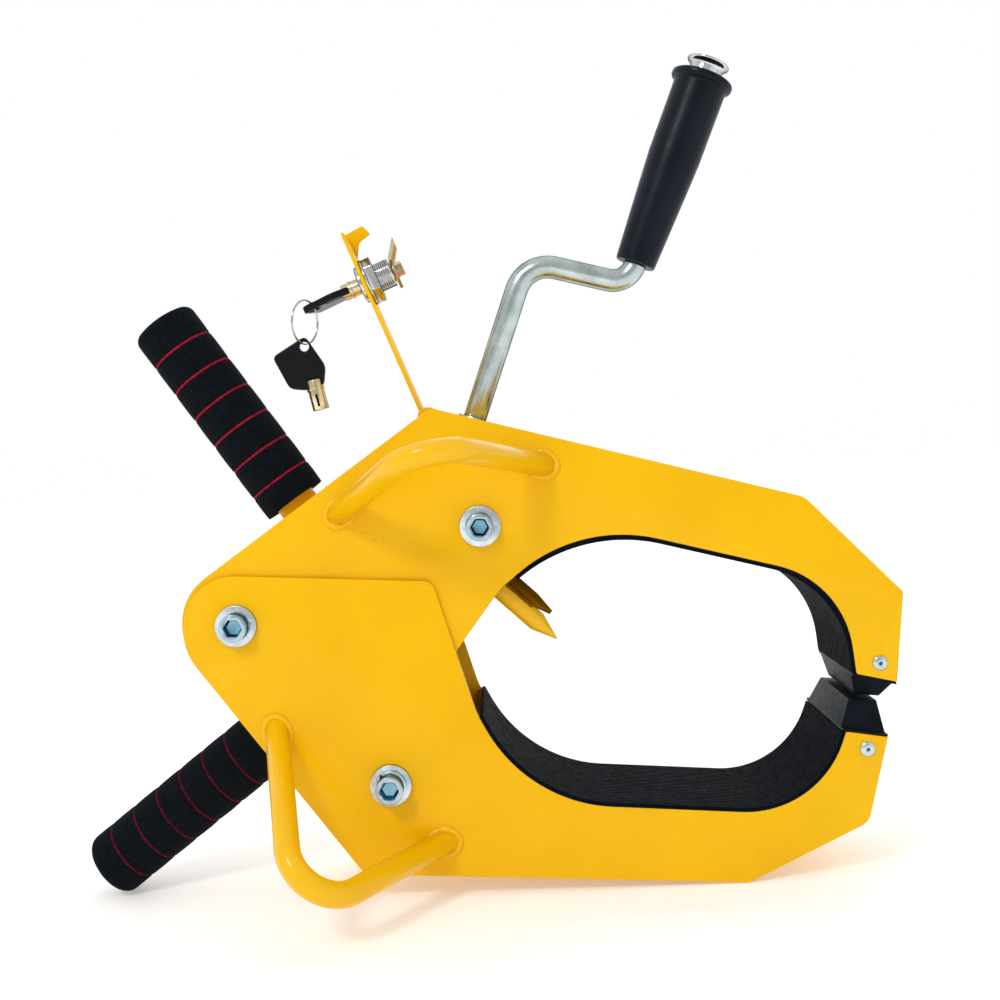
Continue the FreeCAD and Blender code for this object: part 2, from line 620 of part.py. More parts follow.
# ---- lock flap ----
def flap():
    """Hinged flap with its knuckle and end hook, the hinge pin and the ears that hold it."""
    strap = block(-FLAP_T / 2, FLAP_T / 2, FLAP_HALF_Y, 0.0, FLAP_LENGTH)
    face = FLAP_T / 2
    hook = outline([(-face, FLAP_LENGTH - 8.0, 0), (-face, FLAP_LENGTH + 3.5, 0.5),
                    (12.0, FLAP_LENGTH + 4.5, 0.5), (14.4, FLAP_LENGTH - 2.0, 0.5),
                    (5.8, FLAP_LENGTH - 4.4, 3.0), (face, FLAP_LENGTH - 13.0, 0)])
    strap = fuse_all([strap, slab(hook, FLAP_HALF_Y - FLAP_T, FLAP_HALF_Y)])
    strap = strap.cut(Part.makeCylinder(LOCK_R + RUNNING, 20, at(-10, LOCK_ALONG), FreeCAD.Vector(1, 0, 0)))
    strap = place(strap, FLAP_FOOT, FLAP_LEAN)
    knuckle = cross_rod(HINGE, HINGE_TUBE_R, -FLAP_HALF_Y, FLAP_HALF_Y)
    body = fuse_all([strap, knuckle]).cut(cross_rod(HINGE, HINGE_PIN_R + RUNNING, -DEPTH, DEPTH))
    parts["flap_plate"] = body
    parts["flap_hinge_pin"] = cross_rod(HINGE, HINGE_PIN_R, -EAR_OUT, EAR_OUT)
    ear = outline([(HINGE[0] - 6, 112.0, 0), (HINGE[0] + 6, 112.0, 0), (HINGE[0] + 6, 129.5, 5.0),
                   (HINGE[0] - 6, 129.5, 5.0)])
    ears = [slab(ear, EAR_IN, EAR_OUT), slab(ear, -EAR_OUT, -EAR_IN)]
    hole = cross_rod(HINGE, HINGE_PIN_R, -DEPTH, DEPTH)
    parts["flap_hinge_ears"] = Part.makeCompound([side.cut(hole) for side in ears])


def cam_lock():
    """Cam lock through the flap. Its axis points into the clamp when the flap is shut."""
    face = FLAP_T / 2
    body = fuse_all([barrel(LOCK_R, -2.5, LOCK_END), barrel(LOCK_FLANGE_R, -3.7, -face)])
    body = body.cut(barrel(PLUG_R + RUNNING, -5.0, LOCK_END + 2.0))
    parts["lock_body"] = place(body, LOCK_FOOT, LOCK_LEAN)
    washer = tube(LOCK_WASHER_R, LOCK_R + RUNNING, face + 0.1, face + 1.7)
    parts["lock_washer"] = place(washer, LOCK_FOOT, LOCK_LEAN)
    nut = hexagon(LOCK_NUT_AF, face + 1.8, face + 7.1).cut(barrel(LOCK_R, 0.0, 20.0))
    parts["lock_nut"] = place(nut, LOCK_FOOT, LOCK_LEAN)
    plug = fuse_all([barrel(PLUG_R, -3.2, LOCK_END + 0.3), barrel(CAM_STUD_R, LOCK_END, LOCK_END + 7.0)])
    plug = plug.cut(tube(KEY_OUT + 0.1, KEY_IN - 0.1, -4.0, 3.8))
    parts["lock_plug"] = place(plug, LOCK_FOOT, LOCK_LEAN)
    parts["lock_cam"] = place(cam_plate(), LOCK_FOOT, LOCK_LEAN)
    cam_nut = fuse_all([hexagon(8.0, 21.1, 25.0), barrel(5.0, 20.7, 21.6)])
    cam_nut = cam_nut.cut(barrel(CAM_STUD_R, 18.0, 25.5))
    parts["lock_cam_nut"] = place(cam_nut, LOCK_FOOT, LOCK_LEAN)


def cam_plate():
    """Cam: flat at the plug, then bent outward to its catching end, and turned about the lock's axis."""
    near = [(9.0, 18.6), (-6.0, 18.6), (-18.0, 26.0)]
    far = [(-19.2, 26.0 + CAM_T * 0.8), (-6.6, 18.6 + CAM_T), (9.0, 18.6 + CAM_T)]
    plate = slab(outline([corner + (0.4,) for corner in near + far]), -CAM_HALF_Y, CAM_HALF_Y)
    plate = plate.cut(barrel(CAM_STUD_R, 10.0, 30.0))
    plate.rotate(ORIGIN, Z_AXIS, CAM_TURN)
    return plate


# ---- keys ----
def key_bow():
    """Moulded key head in its own frame: ring hole at the origin, shank end up Z."""
    head = slab(outline(BOW), -BOW_T / 2, BOW_T / 2)
    return head.cut(cross_rod((0, 0), KEY_HOLE_R, -BOW_T, BOW_T)).cut(barrel(KEY_OUT, BOW_FRONT - 5.0, 40.0))


def key_shank():
    """Tubular key shank, from inside the head to its tip."""
    return tube(KEY_OUT, KEY_IN, BOW_FRONT - 5.0, KEY_TIP - KEY_HOLE_AT)


def turned_flat(shape):
    """Quarter turn about Z, so that the key head lies along the clamp's depth."""
    moved = shape.copy()
    moved.rotate(ORIGIN, Z_AXIS, 90)
    return moved


def ring_centre(hole):
    """Centre of the key ring, whose wire passes through the key's hole at RING_SEAT from its top."""
    across = RING_R * math.sin(math.radians(RING_SEAT))
    turn = math.radians(RING_TURN)
    up = RING_R * math.cos(math.radians(RING_SEAT))
    return at(hole[0] - across * math.cos(turn), hole[1] - up, -across * math.sin(turn))


def keys():
    """Key in the lock, the ring on it and the spare key hanging on the ring."""
    hole = along(LOCK_FOOT, LOCK_LEAN, KEY_HOLE_AT)
    parts["key_head"] = place(turned_flat(key_bow()), hole, LOCK_LEAN)
    parts["key_shank"] = place(turned_flat(key_shank()), hole, LOCK_LEAN)
    centre = ring_centre(hole)
    ring = Part.makeTorus(RING_R, RING_WIRE_R, ORIGIN, Y_AXIS)
    ring.rotate(ORIGIN, Z_AXIS, RING_TURN)
    ring.translate(centre)
    parts["key_ring"] = ring
    spare = (centre.x, centre.z - RING_R + RING_WIRE_R + 0.7 - KEY_HOLE_R)
    parts["spare_key_head"] = place(key_bow(), spare, SPARE_LEAN, centre.y)
    parts["spare_key_shank"] = place(key_shank(), spare, SPARE_LEAN, centre.y)


# ---- finished clamp ----
def standing_tip():
    """Angle that brings the end of the lower grip level with the lower jaw's far bottom corner."""
    grip_end = along(LOWER_GRIP_FOOT, LOWER_GRIP_LEAN, LOWER_FOAM[1] - FOAM_EDGE)
    low_point = along(grip_end, LOWER_GRIP_LEAN - 90, FOAM_R)
    corner = LOWER_BACK[2]
    return math.degrees(math.atan2(corner[1] - low_point[1], corner[0] - low_point[0]))


def stand_and_save():
    """Tip the clamp onto its two resting places, centre it and write one file per part."""
    tip = standing_tip()
    for shape in parts.values():
        shape.rotate(ORIGIN, Y_AXIS, tip)
    box = Part.makeCompound(list(parts.values())).optimalBoundingBox()
    move = FreeCAD.Vector(-box.Center.x, -box.Center.y, -box.ZMin)
    os.makedirs("parts", exist_ok=True)
    for name, shape in parts.items():
        shape.translate(move)
        shape.exportStep(os.path.join("parts", name + ".step"))


lower_jaw()
upper_jaw()
tip_caps()
bolts()
screw_drive()
crank_parts()
grips()
spike()
flap()
cam_lock()
keys()
stand_and_save()
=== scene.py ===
"""Looks of the wheel clamp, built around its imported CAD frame.

Shapes are modelled in millimetres in the design frame, where the pivot axis is x = 0,
z = 0 and runs along Y, X points to the jaw tips, Z is up and the front is -Y. TO_ROW
takes them to the row frame, in metres.
"""

import json
import math
import random

import bmesh
import bpy
from mathutils import Matrix, Vector, noise


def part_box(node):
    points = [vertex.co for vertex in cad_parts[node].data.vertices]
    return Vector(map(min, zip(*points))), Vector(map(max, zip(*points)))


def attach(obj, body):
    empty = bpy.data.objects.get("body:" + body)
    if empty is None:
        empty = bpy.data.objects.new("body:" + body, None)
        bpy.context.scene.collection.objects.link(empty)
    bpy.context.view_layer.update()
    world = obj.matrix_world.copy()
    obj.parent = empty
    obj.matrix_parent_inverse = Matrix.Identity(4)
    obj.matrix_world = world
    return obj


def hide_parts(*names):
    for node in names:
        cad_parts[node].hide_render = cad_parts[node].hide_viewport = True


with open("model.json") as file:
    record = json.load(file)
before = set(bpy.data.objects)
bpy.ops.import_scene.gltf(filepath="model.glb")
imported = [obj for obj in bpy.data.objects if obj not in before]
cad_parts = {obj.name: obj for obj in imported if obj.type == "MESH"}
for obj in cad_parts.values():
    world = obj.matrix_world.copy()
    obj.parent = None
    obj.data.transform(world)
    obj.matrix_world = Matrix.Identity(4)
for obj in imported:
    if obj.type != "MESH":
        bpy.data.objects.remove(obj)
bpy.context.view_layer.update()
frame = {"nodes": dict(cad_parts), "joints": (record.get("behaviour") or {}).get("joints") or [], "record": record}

# ---- dimensions shared with the CAD part, millimetres and degrees ----
LOWER_FACE = 41.0
UPPER_FACE = 37.5
PLATE = 3.0
UPPER_INSIDE = UPPER_FACE - PLATE
LOWER_INSIDE = LOWER_FACE - PLATE
UPPER_BOLT = (140.2, 60.6)
LOWER_BOLT = (91.8, -90.3)
TYRE_CENTRE = (255.0, -35.0)

SCREW_LEAN = 16.7
UPPER_REACH = 23.0
SCREW_SPAN = 158.44
SCREW_R = 8.0
SCREW_PITCH = 4.0
JOURNAL_R = 6.0
JOURNAL_END = 15.0
COLLAR_R = 11.0
COLLAR_LOW = 2.1
COLLAR_HIGH = 6.0
THRUST_HALF = 10.0
HEX_LOW = 46.0
HEX_HIGH = 55.5
HEX_AF = 12.0

GRIP_FOOT = (227.1, 207.7)
GRIP_LEAN = 18.9
GRIP_START = 13.0
GRIP_LENGTH = 122.0
SPINDLE_R = 5.0

FOAM_R = 20.0
TUBE_R = 12.5
RIM_INSET = 4.0
FOAM_GRIPS = {"upper": ((30.1, 66.1), -38.2, 6.5, 143.0),
              "lower": ((17.0, -71.3), -130.5, 7.0, 131.0)}

HANDLE_R = 7.0
HANDLE_REACH = 95.0
HANDLES = {"upper": ((58.4, 66.6), (110.4, 109.4), (175.4, 97.4), UPPER_FACE),
           "lower": ((25.2, -61.0), (52.1, -133.0), (123.5, -122.8), LOWER_FACE)}

FLAP_FOOT = (103.3, 126.1)
FLAP_LEAN = -25.1
LOCK_ALONG = 87.0
LOCK_LEAN = FLAP_LEAN + 90
LOCK_R = 9.5
PLUG_R = 6.15
KEY_HOLE_AT = -35.0
KEY_HOLE_R = 4.0
KEY_OUT = 4.9
BOW_T = 4.4
BOW = [(-2.4, -7.2), (20.0, 0.0), (14.9, 21.5), (5.5, 25.0), (-5.5, 25.0), (-9.6, 13.5)]
RING_R = 13.4
RING_WIRE_R = 0.75
RING_TURN = 64.0
RING_SEAT = 40.0
SPARE_LEAN = 163.3

UPPER_RIM = [(-5.0, 38.5), (109.7, 128.8), (329.1, 81.5), (387.8, 27.4)]
LOWER_RIM = [(-4.0, -46.7), (77.8, -142.7), (300.8, -142.7), (369.5, -106.3)]

SPIKE_LEAN = 129.9
SPIKE_TUBE_R = 13.0
SPIKE_Y = -18.0

# ---- details that only the looks have, millimetres ----
# Cap screws: how far out a socket's corners reach, and its countersunk mouth.
SOCKET_REACH = 5.4
MOUTH_DEPTH = 1.2
MOUTH_FLARE = 1.16
# Nylon ring of a lock nut: (radius, height over the plate's face).
NYLON_RING = [(5.1, 12.7), (6.9, 12.7), (6.7, 13.25), (5.3, 13.25)]

# Linings: grooves as shares of the ribs' pitch, where the cuts and the groove's floor are.
RIB_PITCH = 3.0
RIB_DEPTH = 0.9
RIB_CUTS = (0.28, 0.42, 0.58, 0.72)
RIB_VALLEY = (0.4, 0.6)

# Welds: bead radius at the handles, ripple length, and the rims' stitches along each run.
HANDLE_BEAD = 2.1
BEAD_RIPPLE = 3.2
STITCH_PITCH = 62.0
STITCH_LENGTH = 20.0
STITCH_START = 16.0
STITCH_STAGGER = 9.0
STITCH_MARGIN = 10.0
SPIKE_WELD_GAP = 3.6
SPATTER_DROPS = 12

# Screw, grip and end cap: (radius, height) outlines from the grip's foot and the cap's.
THREAD_DEPTH = 1.4
GRIP_BORE_R = SPINDLE_R + 0.1
GRIP_SHAPE = [(GRIP_BORE_R, 0.0), (12.0, 0.0), (12.4, 1.6), (15.1, 50.0), (16.1, 70.0),
              (16.4, 116.0), (18.4, 117.1), (19.2, 118.4), (19.2, 120.9), (17.6, GRIP_LENGTH),
              (GRIP_BORE_R, GRIP_LENGTH)]
CAP_SHAPE = [(0.01, 0.3), (10.4, 0.1), (10.7, 1.0), (10.4, 5.2), (11.2, 6.6), (12.4, 7.5),
             (13.3, 8.4), (13.1, 9.4), (11.4, 9.6), (10.8, 9.2), (9.2, 10.4), (5.4, 11.8),
             (0.01, 12.15)]

# Foam: (first height, pitch) of the red rings, their grooves, and the segments' shape.
FOAM_RINGS = {"upper": (22.0, 19.8), "lower": (24.7, 17.7)}
RING_COUNT = 6
GROOVE_DEPTH = 1.35
GROOVE_HALF = 1.3
FOAM_SINK = 0.25
FOAM_SWELL = 0.2
DOME_R = 5.5
LUMP = 0.16

# Lock body's thread and milled flats, and the split ring's offset between its turns.
LOCK_THREAD_PITCH = 1.3
LOCK_THREAD_DEPTH = 0.55
LOCK_FLAT = 8.3
RING_OFFSET = 0.36

# Keys: the spare's ring hole, the head's edges and panel, the collar and the shank's slot.
SPARE_HOLE_R = 2.9
BOW_EDGE = 0.9
BOW_ROUND = 3.4
PANEL = [(-4.5, 8.0), (9.5, 9.5), (8.0, 19.0), (-4.5, 19.0)]
PANEL_MIDDLE = (2.1, 13.9)
PANEL_SIZE = 6.0
KEY_COLLAR_R = 5.35
KEY_COLLAR = (24.6, 26.4)
KEY_SLOT = (29.0, 36.5)
KEY_SLOT_HALF = 0.7


# ---- the design frame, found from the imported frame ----
def centre_of(node):
    """Middle of a CAD node's box, in metres."""
    low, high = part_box(node)
    return (low + high) / 2


def standing_tip():
    """Angle in degrees by which the standing clamp is tipped, from the screw's axis."""
    axis = next(joint["axis"] for joint in frame["joints"] if joint["name"] == "screw_spin")
    return math.degrees(math.atan2(abs(axis[0]), abs(axis[2]))) - SCREW_LEAN


TIP = standing_tip()
TO_ROW = (Matrix.Translation(centre_of("pivot_sleeve")) @ Matrix.Rotation(math.radians(TIP), 4, "Y")
          @ Matrix.Scale(0.001, 4))
BODY_OF = {node: body for body, nodes in frame["record"]["behaviour"]["bodies"].items()
           for node in nodes}
SLOT_OF = {name: node.data.materials[0].name for name, node in frame["nodes"].items()}


def along(start, lean, distance):
    """(x, z) at a distance from start, in the direction that leans clockwise from +Z."""
    turn = math.radians(lean)
    return (start[0] + math.sin(turn) * distance, start[1] + math.cos(turn) * distance)


def leaned(foot, lean, y=0.0):
    """Matrix that takes a shape modelled up its own Z axis to its place in the row frame."""
    return (TO_ROW @ Matrix.Translation((foot[0], y, foot[1]))
            @ Matrix.Rotation(math.radians(lean), 4, "Y"))


def around(count):
    """(cosine, sine) of each of count equal steps round a circle."""
    turns = [2 * math.pi * k / count for k in range(count)]
    return [(math.cos(turn), math.sin(turn)) for turn in turns]


SCREW_FOOT = along(UPPER_BOLT, SCREW_LEAN - 90, UPPER_REACH)
LOCK_FOOT = along(FLAP_FOOT, FLAP_LEAN, LOCK_ALONG)
KEY_HOLE = along(LOCK_FOOT, LOCK_LEAN, KEY_HOLE_AT)


# ---- materials ----
def srgb(red, green, blue):
    """Linear colour from 0-255 display values."""
    def linear(value):
        value /= 255.0
        return value / 12.92 if value <= 0.04045 else ((value + 0.055) / 1.055) ** 2.4
    return (linear(red), linear(green), linear(blue), 1.0)


NOISE_LOW = 0.3
NOISE_HIGH = 0.7


class Finish:
    """One procedural material and short calls for its nodes."""

    def __init__(self, name, **inputs):
        self.material = bpy.data.materials.new(name)
        self.material.use_nodes = True
        self.tree = self.material.node_tree
        self.shader = self.tree.nodes["Principled BSDF"]
        self.coords = self.tree.nodes.new("ShaderNodeTexCoord").outputs["Object"]
        for label, value in inputs.items():
            self.shader.inputs[label.replace("_", " ")].default_value = value

    def stretched(self, x, y, z):
        """Object coordinates scaled by axis, for grain that runs one way."""
        mapping = self.tree.nodes.new("ShaderNodeMapping")
        mapping.inputs["Scale"].default_value = (x, y, z)
        self.tree.links.new(self.coords, mapping.inputs["Vector"])
        return mapping.outputs["Vector"]

    def grain(self, size, detail=3.0, vector=None):
        """Noise whose features are about size metres across."""
        node = self.tree.nodes.new("ShaderNodeTexNoise")
        node.inputs["Scale"].default_value = 1.0 / size
        node.inputs["Detail"].default_value = detail
        self.tree.links.new(vector or self.coords, node.inputs["Vector"])
        return node.outputs["Fac"]

    def pores(self, size):
        """Cell pattern whose cells are about size metres across."""
        node = self.tree.nodes.new("ShaderNodeTexVoronoi")
        node.inputs["Scale"].default_value = 1.0 / size
        self.tree.links.new(self.coords, node.inputs["Vector"])
        return node.outputs["Distance"]

    def ramp(self, factor, stops):
        """Colour ramp with (position, colour) stops."""
        node = self.tree.nodes.new("ShaderNodeValToRGB")
        while len(node.color_ramp.elements) < len(stops):
            node.color_ramp.elements.new(0.5)
        for element, (position, colour) in zip(node.color_ramp.elements, stops):
            element.position = position
            element.color = colour
        self.tree.links.new(factor, node.inputs["Fac"])
        return node.outputs["Color"]

    def between(self, factor, low, high, into):
        """Map a noise factor to a range of one shader input."""
        node = self.tree.nodes.new("ShaderNodeMapRange")
        for label, value in (("From Min", NOISE_LOW), ("From Max", NOISE_HIGH),
                             ("To Min", low), ("To Max", high)):
            node.inputs[label].default_value = value
        self.tree.links.new(factor, node.inputs["Value"])
        self.tree.links.new(node.outputs["Result"], self.shader.inputs[into])

    def colour(self, output):
        """Use a colour output as the base colour."""
        self.tree.links.new(output, self.shader.inputs["Base Color"])

    def mottle(self, factor, dark, light):
        """Base colour that drifts from dark to light with a noise factor."""
        self.colour(self.ramp(factor, [(NOISE_LOW, dark), (NOISE_HIGH, light)]))

    def bumps(self, *layers):
        """Stack (height output, height in metres) bump layers into the shader's normal."""
        normal = None
        for height, distance in layers:
            node = self.tree.nodes.new("ShaderNodeBump")
            node.inputs["Strength"].default_value = 1.0
            node.inputs["Distance"].default_value = distance
            self.tree.links.new(height, node.inputs["Height"])
            if normal is not None:
                self.tree.links.new(normal, node.inputs["Normal"])
            normal = node.outputs["Normal"]
        self.tree.links.new(normal, self.shader.inputs["Normal"])


def yellow_paint(name, dark, middle, light, gloss, coat, peel=0.00014):
    """Powder coat: faint orange peel, slow colour drift and a clear gloss on top."""
    finish = Finish(name, Coat_Weight=coat, Coat_Roughness=0.12, Specular_IOR_Level=gloss)
    finish.colour(finish.ramp(finish.grain(0.07, 4.0), [(0.3, dark), (0.5, middle), (0.72, light)]))
    finish.between(finish.grain(0.012), 0.26, 0.38, "Roughness")
    finish.bumps((finish.grain(0.0035, 1.0), peel), (finish.grain(0.0007, 2.0), 0.00001))
    return finish.material


def lining_rubber():
    """Black bonded rubber with a dusty bloom."""
    finish = Finish("ribbed_rubber", Specular_IOR_Level=0.035)
    finish.mottle(finish.grain(0.02, 5.0), srgb(3, 7, 12), srgb(10, 17, 25))
    finish.between(finish.grain(0.004, 4.0), 0.5, 0.7, "Roughness")
    finish.bumps((finish.grain(0.0008, 4.0), 0.00006))
    return finish.material


def tip_plastic():
    """Moulded black plastic with a fine spark-eroded texture."""
    finish = Finish("moulded_tip_plastic", Specular_IOR_Level=0.07)
    finish.mottle(finish.grain(0.01, 4.0), srgb(8, 14, 20), srgb(17, 24, 32))
    finish.between(finish.grain(0.003), 0.36, 0.5, "Roughness")
    finish.bumps((finish.grain(0.0005, 3.0), 0.00004), (finish.grain(0.006, 2.0), 0.00008))
    return finish.material


def plated(name, dark, light, rim, low, high, stretch=(1.0, 1.0, 1.0), size=0.004, bump=0.00003):
    """Metal plating: mottled tone, a rim tint in its reflections, and fine drawn or cut marks."""
    finish = Finish(name, Metallic=1.0, Specular_Tint=rim)
    streaks = finish.stretched(*stretch)
    finish.mottle(finish.grain(size * 2.5, 4.0), dark, light)
    finish.between(finish.grain(size, 4.0, streaks), low, high, "Roughness")
    finish.bumps((finish.grain(size * 0.2, 3.0, streaks), bump))
    return finish.material


def grip_plastic():
    """Smooth satin black grip plastic with a slight bluish cast."""
    finish = Finish("satin_grip_plastic", Specular_IOR_Level=0.15)
    finish.mottle(finish.grain(0.03, 3.0), srgb(5, 13, 24), srgb(11, 21, 35))
    finish.between(finish.grain(0.006), 0.3, 0.42, "Roughness")
    finish.bumps((finish.grain(0.002, 2.0), 0.00003), (finish.grain(0.0004, 2.0), 0.000012))
    return finish.material


def foam(name, dark, light):
    """Closed-cell foam: matt, with small open pores and soft dents."""
    finish = Finish(name, Specular_IOR_Level=0.08, Roughness=0.92)
    finish.mottle(finish.grain(0.002, 5.0), dark, light)
    finish.bumps((finish.grain(0.008, 2.0), 0.0004), (finish.pores(0.0011), 0.00022),
                 (finish.grain(0.0004, 2.0), 0.0001))
    return finish.material


def yellow_zinc():
    """Yellow-passivated zinc: gold with drifting rose and green tints."""
    finish = Finish("yellow_passivated_zinc", Metallic=1.0)
    tints = [(0.34, srgb(196, 172, 120)), (0.44, srgb(206, 188, 142)), (0.5, srgb(198, 160, 140)),
             (0.56, srgb(176, 186, 146)), (0.66, srgb(206, 196, 168))]
    finish.colour(finish.ramp(finish.grain(0.011, 3.0), tints))
    finish.between(finish.grain(0.003, 4.0), 0.24, 0.4, "Roughness")
    finish.bumps((finish.grain(0.0009, 3.0), 0.00003))
    return finish.material


def key_plastic():
    """Glossy moulded key head."""
    finish = Finish("key_head_plastic", Specular_IOR_Level=0.18)
    finish.mottle(finish.grain(0.006, 3.0), srgb(5, 6, 8), srgb(12, 13, 16))
    finish.between(finish.grain(0.002), 0.26, 0.38, "Roughness")
    finish.bumps((finish.grain(0.0006, 2.0), 0.00003))
    return finish.material


PAINT_TONES = (srgb(232, 177, 0), srgb(237, 182, 0), srgb(241, 186, 1))
MATERIALS = {
    "yellow_paint": yellow_paint("yellow_powder_coat", *PAINT_TONES, 0.14, 0.06),
    "lining_rubber": lining_rubber(),
    "tip_plastic": tip_plastic(),
    "bright_zinc": plated("bright_zinc_plate", srgb(180, 196, 206), srgb(218, 228, 234),
                          srgb(90, 108, 120), 0.2, 0.36),
    "machined_steel": plated("machined_steel", srgb(150, 152, 156), srgb(182, 184, 186),
                             srgb(96, 100, 106), 0.28, 0.42, (3.0, 3.0, 0.4), 0.003, 0.00004),
    "zinc_rod": plated("dull_zinc_rod", srgb(162, 176, 176), srgb(204, 214, 212),
                       srgb(40, 50, 52), 0.2, 0.32, (2.0, 2.0, 0.5), 0.006, 0.00006),
    "chrome": plated("polished_chrome", srgb(190, 194, 196), srgb(214, 216, 216),
                     srgb(90, 94, 96), 0.08, 0.16, bump=0.00001),
    "grip_plastic": grip_plastic(),
    "grip_foam": foam("black_grip_foam", srgb(5, 10, 15), srgb(14, 20, 26)),
    "yellow_zinc": yellow_zinc(),
    "key_steel": plated("key_nickel", srgb(206, 186, 140), srgb(232, 220, 188),
                        srgb(128, 92, 34), 0.14, 0.26, bump=0.00001),
    "key_plastic": key_plastic(),
}
GLOSSY_PAINT = yellow_paint("glossy_yellow_paint", *PAINT_TONES, 0.2, 0.28)
# Dark brown copy of the yellow paint: painted shade for the jaw bands, the spike's bracket and its welds, which
# lie in shade between the plates.
PAINTED_SHADE_YELLOW = yellow_paint("painted_shade_yellow_paint", srgb(98, 60, 6), srgb(122, 78, 8),
                          srgb(150, 100, 10), 0.0, 0.0)
MATT_PAINT = yellow_paint("matt_yellow_paint", *PAINT_TONES, 0.05, 0.0, 0.00003)
# Darker, bluer zinc for the inside of the cap screws' sockets: painted shade of the recess.
SOCKET_SHADE_BLUE = plated("socket_shade_blue_zinc", srgb(92, 138, 160), srgb(132, 174, 192),
                     srgb(40, 66, 84), 0.14, 0.24)
BOLT_ZINC = plated("bolt_head_zinc", srgb(150, 174, 186), srgb(188, 204, 212),
                   srgb(64, 88, 102), 0.16, 0.3)
RING_RED = {"upper": foam("red_foam_ring", srgb(120, 14, 34), srgb(176, 22, 50)),
            "lower": foam("dark_red_foam_ring", srgb(62, 8, 22), srgb(104, 16, 36))}
# Black for the spare key's slot strip: painted shade standing in for the groove.
SLOT_SHADE_BLACK = foam("painted_shade_key_slot", srgb(8, 8, 9), srgb(16, 16, 18))
NYLON = foam("white_nylon_insert", srgb(196, 202, 206), srgb(214, 220, 224))


# ---- mesh helpers ----
def finished(name, mesh, body, slot, material=None, stands_for=(), sharp=38.0):
    """Put a mesh in the scene as a piece on a body, smooth except at its sharp edges."""
    piece = bpy.data.objects.new(name, mesh)
    bpy.context.scene.collection.objects.link(piece)
    mesh.materials.clear()
    mesh.materials.append(material or MATERIALS[slot])
    if sharp:
        mesh.shade_smooth()
        mesh.set_sharp_from_angle(angle=math.radians(sharp))
    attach(piece, body)
    if stands_for:
        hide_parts(*stands_for)
    return piece


def joined(name, grids):
    """One mesh from (rows, matrix, closed) grids, each row a ring of points."""
    verts, faces = [], []
    for rows, matrix, closed in grids:
        first, count = len(verts), len(rows[0])
        verts.extend(matrix @ Vector(point) for row in rows for point in row)
        last = len(rows) if closed else len(rows) - 1
        for i in range(last):
            here, there = first + i * count, first + ((i + 1) % len(rows)) * count
            for k in range(count):
                after = (k + 1) % count
                faces.append((here + k, here + after, there + after, there + k))
        if not closed:
            faces.append([first + k for k in reversed(range(count))])
            faces.append([first + (len(rows) - 1) * count + k for k in range(count)])
    mesh = bpy.data.meshes.new(name)
    mesh.from_pydata(verts, [], faces)
    work = bmesh.new()
    work.from_mesh(mesh)
    bmesh.ops.remove_doubles(work, verts=work.verts, dist=1e-7)
    bmesh.ops.recalc_face_normals(work, faces=work.faces)
    work.to_mesh(mesh)
    work.free()
    return mesh


def unloaded(work, name):
    """Mesh made from a bmesh, which is freed."""
    mesh = bpy.data.meshes.new(name)
    work.to_mesh(mesh)
    work.free()
    return mesh


def lathe(profile, segments=64, radius=None):
    """Rings of points round Z from a (radius, height) profile. radius(r, z, turn) may shape them."""
    rows = []
    for r, z in profile:
        row = []
        for k in range(segments):
            turn = 2 * math.pi * k / segments
            reach = radius(r, z, turn) if radius else r
            row.append((reach * math.cos(turn), reach * math.sin(turn), z))
        rows.append(row)
    return rows


def rounded(profile, radius, steps=4):
    """A (radius, height) profile with the corners between its two ends rounded."""
    result = [profile[0]]
    for before, corner, after in zip(profile, profile[1:], profile[2:]):
        back, ahead = Vector(before) - Vector(corner), Vector(after) - Vector(corner)
        reach = min(radius, back.length * 0.45, ahead.length * 0.45)
        start = Vector(corner) + back.normalized() * reach
        end = Vector(corner) + ahead.normalized() * reach
        for i in range(steps + 1):
            t = i / steps
            point = start * (1 - t) ** 2 + Vector(corner) * 2 * t * (1 - t) + end * t ** 2
            result.append((point.x, point.y))
    result.append(profile[-1])
    return result


def swept(path, radius, segments=12, closed=False):
    """Rings of points round a path of 3-D points. radius is a number or a list of them."""
    rows = []
    count = len(path)
    side = None
    for i, point in enumerate(path):
        before = path[i - 1] if i > 0 or closed else point
        after = path[(i + 1) % count] if i < count - 1 or closed else point
        direction = (after - before).normalized()
        if side is None:
            side = direction.orthogonal().normalized()
        side = (side - direction * side.dot(direction)).normalized()
        up = direction.cross(side)
        reach = radius[i] if isinstance(radius, list) else radius
        rows.append([point + (side * cosine + up * sine) * reach for cosine, sine in around(segments)])
    return rows


def evaluated(piece):
    """The piece's mesh with its modifiers applied. The piece itself is removed."""
    bpy.context.view_layer.update()
    graph = bpy.context.evaluated_depsgraph_get()
    mesh = bpy.data.meshes.new_from_object(piece.evaluated_get(graph), depsgraph=graph,
                                           preserve_all_data_layers=True)
    bpy.data.objects.remove(piece)
    return mesh


def cleaned(node):
    """bmesh of a CAD node with its triangles merged into flat faces."""
    work = bmesh.new()
    work.from_mesh(frame["nodes"][node].data)
    bmesh.ops.remove_doubles(work, verts=work.verts, dist=2e-6)
    bmesh.ops.dissolve_limit(work, angle_limit=math.radians(0.6), verts=work.verts, edges=work.edges)
    return work


def softened(node, width, segments=2, angle=32.0, material=None):
    """A copy of a CAD node with its edges rounded by width millimetres, which stands for the node."""
    mesh = unloaded(cleaned(node), node)
    piece = bpy.data.objects.new(node + "_work", mesh)
    bpy.context.scene.collection.objects.link(piece)
    bevel = piece.modifiers.new("edges", "BEVEL")
    bevel.width = width * 0.001
    bevel.segments = segments
    bevel.limit_method = "ANGLE"
    bevel.angle_limit = math.radians(angle)
    bevel.harden_normals = True
    bevel.miter_outer = "MITER_ARC"
    mesh.shade_smooth()
    return finished(node + "_finished", evaluated(piece), BODY_OF[node], SLOT_OF[node], material,
                    [node], sharp=0)


